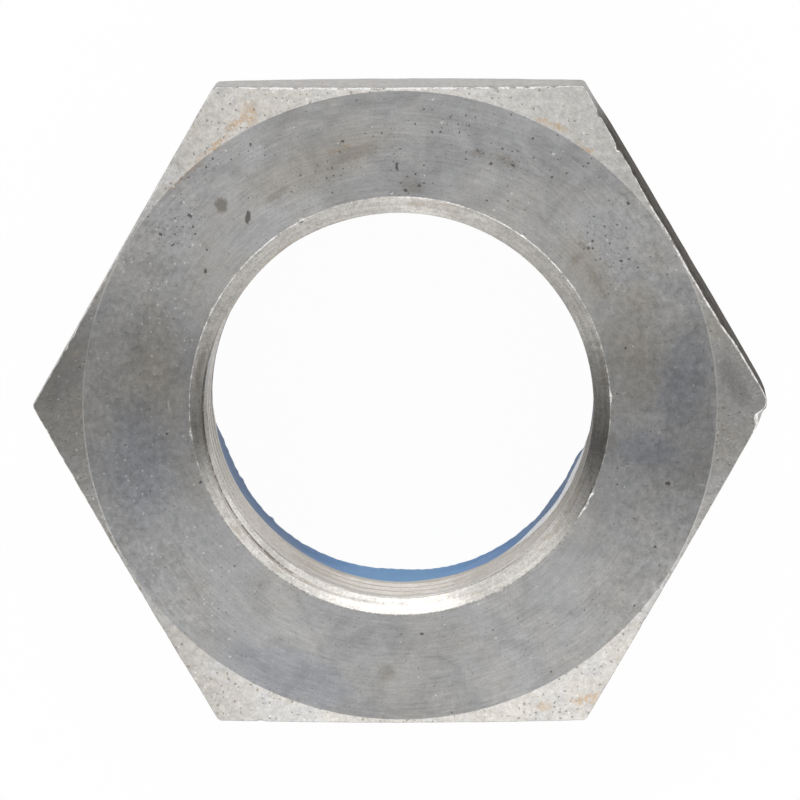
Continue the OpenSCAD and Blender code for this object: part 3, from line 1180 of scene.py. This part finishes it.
def flat_steel():
    """Wrench flats: plain grey with streaks, and a dull patch of painted shade on the flat in the direction
    of 30 degrees.
    """
    finish = Finish("flat_steel")
    drawn_upright = finish.vector("MULTIPLY", finish.position, (1.0, 1.0, 0.3))
    streaks = finish.noise(0.5, detail=3.0, roughness=0.7, at=drawn_upright)
    smudges, mottle, grain = worn_skin(finish)
    brightness = finish.weighed((streaks, 0.4), (smudges, 0.17), (mottle, 0.35), (grain, 0.4))
    colour = finish.shaded((0.41, 0.39, 0.375), brightness)
    # Painted shade: a dark patch on the flat at 30 degrees, fading towards the corner at 60 degrees; the
    # metal there is also dull
    dull_painted_shade = finish.maths("MULTIPLY", finish.step(finish.along(0.866, 0.5), 22.3 * MM, 22.6 * MM),
                          finish.step(finish.along(-0.5, 0.866), 9.5 * MM, 13 * MM, 1.0, 0.15))
    painted_shade_colour = finish.mix(finish.step(mottle, 0.35, 0.65), (0.048, 0.042, 0.036), (0.095, 0.084, 0.072))
    colour = finish.mix(dull_painted_shade, colour, painted_shade_colour)
    pores = finish.dots(0.8, 0.10, 0.45, finish.shifted(0.25, 0.08), "3D")
    colour = finish.tinted(colour, pores, 0.5, (0.12, 0.10, 0.08))
    relief = finish.weighed((streaks, 0.8), (grain, 0.6))
    return finish.surface(
        Base_Color=colour,
        Metallic=finish.maths("SUBTRACT", 1.0, dull_painted_shade),
        Roughness=finish.maths("MULTIPLY_ADD", dull_painted_shade, 0.35, 0.42),
        Specular_IOR_Level=0.2,
        Normal=finish.bump(relief, 0.7, 0.02),
    )


flat_finish = flat_steel()
print("the flats' steel takes", len(flat_finish.node_tree.nodes), "nodes")

# %% [markdown]
# Where other steel has struck or rubbed an edge, a bright line is left, and dirt and small dents
# break it up. The bright lines also carry a painted highlight, the light that the edges catch, so the
# direction decides which edges are bright at all, and noise decides where along such an edge the
# brightness shows.

# %% Rubbed edges


def edge_steel():
    """Broken edges: dull like the rest, and bright in patches along the flats at +Y and at 30 degrees,
    at the knocked corner, along the jagged side, and round the far half of the bore's rim. The bright is
    rubbed metal and painted highlight."""
    finish = Finish("edge_steel")
    smudges, mottle, grain = worn_skin(finish)
    patches = finish.step(finish.noise(0.7, detail=2.0, roughness=0.6), 0.32, 0.50)
    rubbed_and_highlit_places = finish.maths("MAXIMUM", finish.step(finish.along(0.0, 1.0), 21.8 * MM, 22.4 * MM),
                                 finish.step(finish.along(1.0, 0.0), 25 * MM, 25.6 * MM))
    beaten_flat = finish.maths("MULTIPLY", finish.step(finish.along(0.866, 0.5), 22.2 * MM, 22.6 * MM), 0.8)
    jagged_flat = finish.maths("MULTIPLY", finish.step(finish.along(-0.866, 0.5), 22.2 * MM, 22.6 * MM), 0.7)
    radius = finish.radius()
    struck = finish.maths("MAXIMUM", finish.sector(332, 4, 3), finish.sector(2.5, 2, 2))
    # Painted highlight round the far half of the bore's rim, weaker near 104 degrees
    rim_highlight_gap = finish.maths("SUBTRACT", 1.0, finish.sector(104, 14, 12))
    far_rim_highlight = finish.step(finish.along(-0.469, 0.883), 0.5 * MM, 2.5 * MM, 0.0, 0.40)
    rim = finish.maths("MAXIMUM", far_rim_highlight, struck)
    rim = finish.maths("MULTIPLY", rim, rim_highlight_gap)
    rim = finish.maths("MULTIPLY", rim, finish.step(radius, 17 * MM, 18 * MM, 1.0, 0.0))
    broken_up = finish.step(finish.noise(2.4, detail=3.0, roughness=0.7), 0.40, 0.56, 0.12, 1.0)
    rim = finish.maths("MULTIPLY", rim, broken_up)
    for rubbed_place in (beaten_flat, jagged_flat, rim):
        rubbed_and_highlit_places = finish.maths("MAXIMUM", rubbed_and_highlit_places, rubbed_place)
    # Bright patches: rubbed metal and painted highlight
    bright = finish.maths("MULTIPLY", patches, rubbed_and_highlit_places)
    colour = finish.mix(bright, (0.42, 0.41, 0.39), (0.95, 0.94, 0.92))
    colour = finish.shaded(colour, finish.weighed((smudges, 0.17), (mottle, 0.8), (grain, 0.6)))
    return finish.surface(Base_Color=colour, Metallic=1.0, Roughness=0.36)


edge_finish = edge_steel()
print("the edges' steel takes", len(edge_finish.node_tree.nodes), "nodes")

# %% [markdown]
# The collar was turned, and rolled over once the ring lay in its pocket. It isn't seen in the
# photograph, so it is finished plainly, with turned lines, smudges and a few pits.

# %% Turned collar


def collar_steel():
    """Collar, rolled lip and pocket: turned lines, smudges and a few pits."""
    finish = Finish("collar_steel")
    lines = finish.noise(0.16, detail=2.0, roughness=0.6, at=finish.round_axis(0.06))
    smudges, mottle, grain = worn_skin(finish)
    brightness = finish.weighed((lines, 0.4), (smudges, 0.17), (mottle, 0.14), (grain, 0.25))
    colour = finish.shaded((0.50, 0.49, 0.475), brightness)
    pits = finish.dots(1.0, 0.10, 0.40, finish.shifted(0.20, 0.05), "3D")
    colour = finish.tinted(colour, pits, 0.6, (0.14, 0.12, 0.10))
    relief = finish.weighed((lines, 0.8), (mottle, 0.6))
    return finish.surface(
        Base_Color=colour,
        Metallic=1.0,
        Roughness=0.38,
        Anisotropic=0.6,
        Tangent=finish.flat_position(),
        Normal=finish.bump(relief, 0.6, 0.012),
    )


collar_finish = collar_steel()
print("the collar's steel takes", len(collar_finish.node_tree.nodes), "nodes")

# %% [markdown]
# The body is one piece of steel, so it is one mesh, and each zone of its section wears its own
# finish. The rim of the bore is an edge like the others.

# %% The steel body
steel_finishes = {
    "face": face_finish,
    "bore": bore_finish,
    "corner": corner_finish,
    "edge": edge_finish,
    "rim": edge_finish,
    "flat": flat_finish,
    "collar": collar_finish,
}
body_mesh = grid_mesh("hex_body_mesh", body_section.grid(), body_section.zones, steel_finishes)
open_edges = close_mesh(body_mesh)
body = add_piece("worn_hex_body", body_mesh, "hex_body", 14)
triangles = sum(len(face.vertices) - 2 for face in body_mesh.polygons)
print(triangles, "triangles,", open_edges, "open edges")

# %% [markdown]
# The locking ring is moulded nylon, pressed into the pocket. A screw has been through it: on one side
# it has pushed the lower end of the bore outwards, and on the other a tongue and some burrs stand in.
# It is the same kind of surface: a closed section carried round the axis, uneven in the bore only.
# Nylon lets light in a little way, so its blue is soft. Light on the side of the crescent and a pale
# highlight at its middle are painted into the blue.

# %% Blue nylon


def nylon_blue():
    """Satin blue nylon, nearly matt, with painted light on the side of the crescent and a painted highlight
    at its middle.
    """
    finish = Finish("nylon_blue")
    clouds = finish.noise(3.2, detail=2.0, roughness=0.5)
    streaks = finish.noise(0.5, detail=2.0, roughness=0.6, at=finish.round_axis(0.2))
    grain = finish.noise(0.15, detail=2.0, roughness=0.6)
    # Painted light: brighter towards -Y, on the side of the crescent
    lit = finish.step(finish.along(0.1, -1.0), 10 * MM, 14 * MM, 0.9, 1.65)
    colour = finish.mix(finish.step(clouds, 0.36, 0.64), (0.030, 0.145, 0.340), (0.075, 0.180, 0.370))
    brightness = finish.maths("MULTIPLY", finish.weighed((streaks, 0.5), (grain, 0.4)), lit)
    colour = finish.shaded(colour, brightness)
    # Painted highlight: pale blue at the middle of the crescent
    colour = finish.tinted(colour, finish.sector(268, 16, 22), 0.85, (0.155, 0.39, 0.68))
    return finish.surface(
        Base_Color=colour,
        Roughness=0.5,
        Specular_IOR_Level=0.2,
        Subsurface_Weight=0.12,
        Subsurface_Radius=(0.4, 0.7, 1.0),
        Subsurface_Scale=0.001,
        Normal=finish.bump(streaks, 0.4, 0.03),
    )


nylon_finish = nylon_blue()
print("the nylon takes", len(nylon_finish.node_tree.nodes), "nodes")

# %% Nylon locking ring
RING_BEVEL = 0.1
LOWER_BORE_OVER = 0.13
PUSHED_OUT = 0.34
PUSHED_FROM_DEG = 336
PUSHED_BEGINS_DEG = (0, 8)
PUSHED_ENDS_DEG = (213, 227)
PUSHED_AT_MIDDLE = 0.75
BURRS = [
    (334.0, 7.0, 0.25),
    (322.0, 6.0, 0.22),
    (309.0, 2.5, 0.06),
    (267.0, 8.0, 0.10),
    (225.5, 0.8, 0.10),
    (211.0, 1.0, 0.07),
    (197.0, 3.0, 0.06),
]
WORN_WIDER = [
    (232.0, 22.0, 0.21),
    (289.0, 12.0, 0.06),
]


def draw_ring():
    """Half section of the ring, from the upper edge of its bore and round its outside."""
    corner = pocket_corner - ring_play
    pushed = between((turn_deg - PUSHED_FROM_DEG) % 360, PUSHED_BEGINS_DEG, PUSHED_ENDS_DEG)
    lower_bore = ring_bore_r + LOWER_BORE_OVER + PUSHED_OUT * pushed - dents(BURRS) + dents(WORN_WIDER)
    lower_bore = lower_bore + ripple(41, 20, 160, 0.012)
    upper_level = shoulder_z - RING_BEVEL
    lower_level = lip_thickness + RING_BEVEL
    upper_bore = ring_bore_r + np.abs(ripple(42, 4, 60, 0.008))
    section = Section(place(upper_bore + RING_BEVEL, shoulder_z))
    section.line("nylon", place(upper_bore, upper_level))
    middle_bore = upper_bore + PUSHED_AT_MIDDLE * (lower_bore - upper_bore)
    section.line("nylon", place(middle_bore, (upper_level + lower_level) / 2), 4)
    section.line("nylon", place(lower_bore, lower_level), 4)
    section.line("nylon", place(lower_bore + RING_BEVEL, lip_thickness))
    section.line("nylon", place(ring_outer_r - corner, lip_thickness), 3)
    section.arc("nylon", (ring_outer_r - corner, lip_thickness + corner), corner, -90, 0, 7)
    section.line("nylon", place(ring_outer_r, shoulder_z - RING_BEVEL))
    section.line("nylon", place(ring_outer_r - RING_BEVEL, shoulder_z))
    section.line("nylon", place(upper_bore + RING_BEVEL, shoulder_z), 3)
    return section


ring_section = draw_ring()
ring_mesh = grid_mesh("nylon_ring_mesh", ring_section.grid(), ring_section.zones, {"nylon": nylon_finish})
ring_open = close_mesh(ring_mesh)
ring = add_piece("moulded_nylon_ring", ring_mesh, "nylon_ring", 30)
print(len(ring_mesh.polygons), "faces,", ring_open, "open edges")

# %% [markdown]
# The studio is a plain one: a white floor, and two long banks of soft light that stand on either side
# of the nut, with gaps between their ends. The gaps make the dark wings of the turned face, and a
# narrower, stronger panel in the far bank brightens the near side of the mouth's cone.

# %% Floor
FLOOR_HALF_MM = 3000
FLOOR_OWN_WHITE = 0.97


def seen_directly(tree):
    """1 for a ray from the camera, from a glossy surface or through glass, and 0 for the rest."""
    rays = tree.nodes.new("ShaderNodeLightPath").outputs
    total = rays["Is Camera Ray"]
    for name in ("Is Glossy Ray", "Is Transmission Ray"):
        larger = tree.nodes.new("ShaderNodeMath")
        larger.operation = "MAXIMUM"
        tree.links.new(total, larger.inputs[0])
        tree.links.new(rays[name], larger.inputs[1])
        total = larger.outputs[0]
    return total


def white_floor():
    """Mostly a white that shines by itself when it is looked at, so that the page stays white,
    and for the rest a matt white that takes the nut's shadow."""
    material = bpy.data.materials.new("white_floor")
    material.use_nodes = True
    tree = material.node_tree
    tree.nodes.clear()
    matt = tree.nodes.new("ShaderNodeBsdfDiffuse")
    matt.inputs["Color"].default_value = (0.9, 0.9, 0.9, 1.0)
    shining = tree.nodes.new("ShaderNodeEmission")
    share = tree.nodes.new("ShaderNodeMath")
    share.operation = "MULTIPLY"
    share.inputs[1].default_value = FLOOR_OWN_WHITE
    mix = tree.nodes.new("ShaderNodeMixShader")
    output = tree.nodes.new("ShaderNodeOutputMaterial")
    tree.links.new(seen_directly(tree), share.inputs[0])
    tree.links.new(share.outputs[0], mix.inputs["Fac"])
    tree.links.new(matt.outputs[0], mix.inputs[1])
    tree.links.new(shining.outputs[0], mix.inputs[2])
    tree.links.new(mix.outputs[0], output.inputs["Surface"])
    return material


reach = FLOOR_HALF_MM * MM
floor_mesh = bpy.data.meshes.new("floor_mesh")
floor_mesh.from_pydata([(-reach, -reach, 0), (reach, -reach, 0), (reach, reach, 0), (-reach, reach, 0)],
                       [], [(0, 1, 2, 3)])
floor_mesh.materials.append(white_floor())
floor = bpy.data.objects.new("floor", floor_mesh)
bpy.context.scene.collection.objects.link(floor)
print("floor", 2 * reach, "m across")

# %% World
WORLD_LEVEL = 0.28


def studio_world():
    """Even grey light from all round, and plain white where the camera looks past the floor."""
    world = bpy.data.worlds.new("studio")
    world.use_nodes = True
    tree = world.node_tree
    tree.nodes.clear()
    even = tree.nodes.new("ShaderNodeBackground")
    even.inputs["Strength"].default_value = WORLD_LEVEL
    page = tree.nodes.new("ShaderNodeBackground")
    for background in (even, page):
        background.inputs["Color"].default_value = (1.0, 1.0, 1.0, 1.0)
    mix = tree.nodes.new("ShaderNodeMixShader")
    output = tree.nodes.new("ShaderNodeOutputWorld")
    camera_ray = tree.nodes.new("ShaderNodeLightPath").outputs["Is Camera Ray"]
    tree.links.new(camera_ray, mix.inputs["Fac"])
    tree.links.new(even.outputs[0], mix.inputs[1])
    tree.links.new(page.outputs[0], mix.inputs[2])
    tree.links.new(mix.outputs[0], output.inputs["Surface"])
    return world


bpy.context.scene.world = studio_world()
bpy.context.scene.view_settings.view_transform = "Standard"
print("world at", WORLD_LEVEL)

# %% Soft light
BANK_DISTANCE = 1.0
# Banks of light: name, middle and half width of each panel as angles round the axis, the
# lowest and highest tilt from straight up, and the radiance
PANELS = [
    ("far_left", 142, 27, 26, 70, 1.10),
    ("far_middle", 89, 27, 26, 70, 1.10),
    ("far_right", 36, 27, 26, 70, 1.10),
    ("near_left", 226, 21, 25, 75, 1.32),
    ("near_middle", 268, 21, 25, 75, 1.32),
    ("near_right", 310, 21, 25, 75, 1.32),
    ("far_key", 88, 24, 45, 62, 2.40),
]


def add_panel(name, azimuth, half_width, low_tilt, high_tilt, radiance):
    """An upright rectangle of even light that faces the axis.

    Its width is 2 R tan(half width), and its top and bottom lie at R / tan(tilt). A flat lamp of
    area A and power P has the radiance P / (pi A), and that gives the power.
    """
    width = 2 * BANK_DISTANCE * math.tan(math.radians(half_width))
    top = BANK_DISTANCE / math.tan(math.radians(low_tilt))
    bottom = BANK_DISTANCE / math.tan(math.radians(high_tilt))
    lamp = bpy.data.lights.new(name, "AREA")
    lamp.shape = "RECTANGLE"
    lamp.size = width
    lamp.size_y = top - bottom
    lamp.energy = radiance * math.pi * width * (top - bottom)
    panel = bpy.data.objects.new(name, lamp)
    c, s = math.cos(math.radians(azimuth)), math.sin(math.radians(azimuth))
    panel.matrix_world = Matrix((
        (-s, 0, c, BANK_DISTANCE * c),
        (c, 0, s, BANK_DISTANCE * s),
        (0, 1, 0, (top + bottom) / 2),
        (0, 0, 0, 1),
    ))
    bpy.context.scene.collection.objects.link(panel)
    return lamp.energy


for panel_values in PANELS:
    print(panel_values[0], round(add_panel(*panel_values), 2), "W")

# %% [markdown]
# The photograph looks almost straight down on the bearing face. The blue ring shows as a crescent on
# one side of the bore only, and the width of that crescent and of the strip of the far flat give the
# tilt: 7 degrees, from the side of the flat at +Y. Both also fix how far away the camera stands. The
# nut lies turned by a third of a degree on the page, so the camera is rolled by as much.

# %% Camera
CAMERA_DISTANCE_MM = 512
CAMERA_TILT = 7.0
CAMERA_AZIMUTH = 77.0
CAMERA_LENS = 320.8
CAMERA_AIM_MM = (0.02, 0.49)
CAMERA_ROLL = 0.33

lens = bpy.data.cameras.new("camera")
lens.sensor_width = 36
lens.lens = CAMERA_LENS
lens.clip_start = 0.05
lens.clip_end = 20
camera = bpy.data.objects.new("camera", lens)
bpy.context.scene.collection.objects.link(camera)
bpy.context.scene.camera = camera

tilt, azimuth = math.radians(CAMERA_TILT), math.radians(CAMERA_AZIMUTH)
backwards = Vector((
    math.sin(tilt) * math.cos(azimuth),
    math.sin(tilt) * math.sin(azimuth),
    math.cos(tilt),
))
aim = Vector((CAMERA_AIM_MM[0], CAMERA_AIM_MM[1], height)) * MM
page_right = Vector((0, 1, 0)).cross(backwards).normalized()
page_up = backwards.cross(page_right)
roll = math.radians(CAMERA_ROLL)
rightwards = math.cos(roll) * page_right - math.sin(roll) * page_up
upwards = backwards.cross(rightwards)
turned = Matrix((rightwards, upwards, backwards)).transposed().to_4x4()
camera.matrix_world = Matrix.Translation(aim + backwards * CAMERA_DISTANCE_MM * MM) @ turned
print("camera at", [round(part, 4) for part in camera.matrix_world.translation])

# %% [markdown]
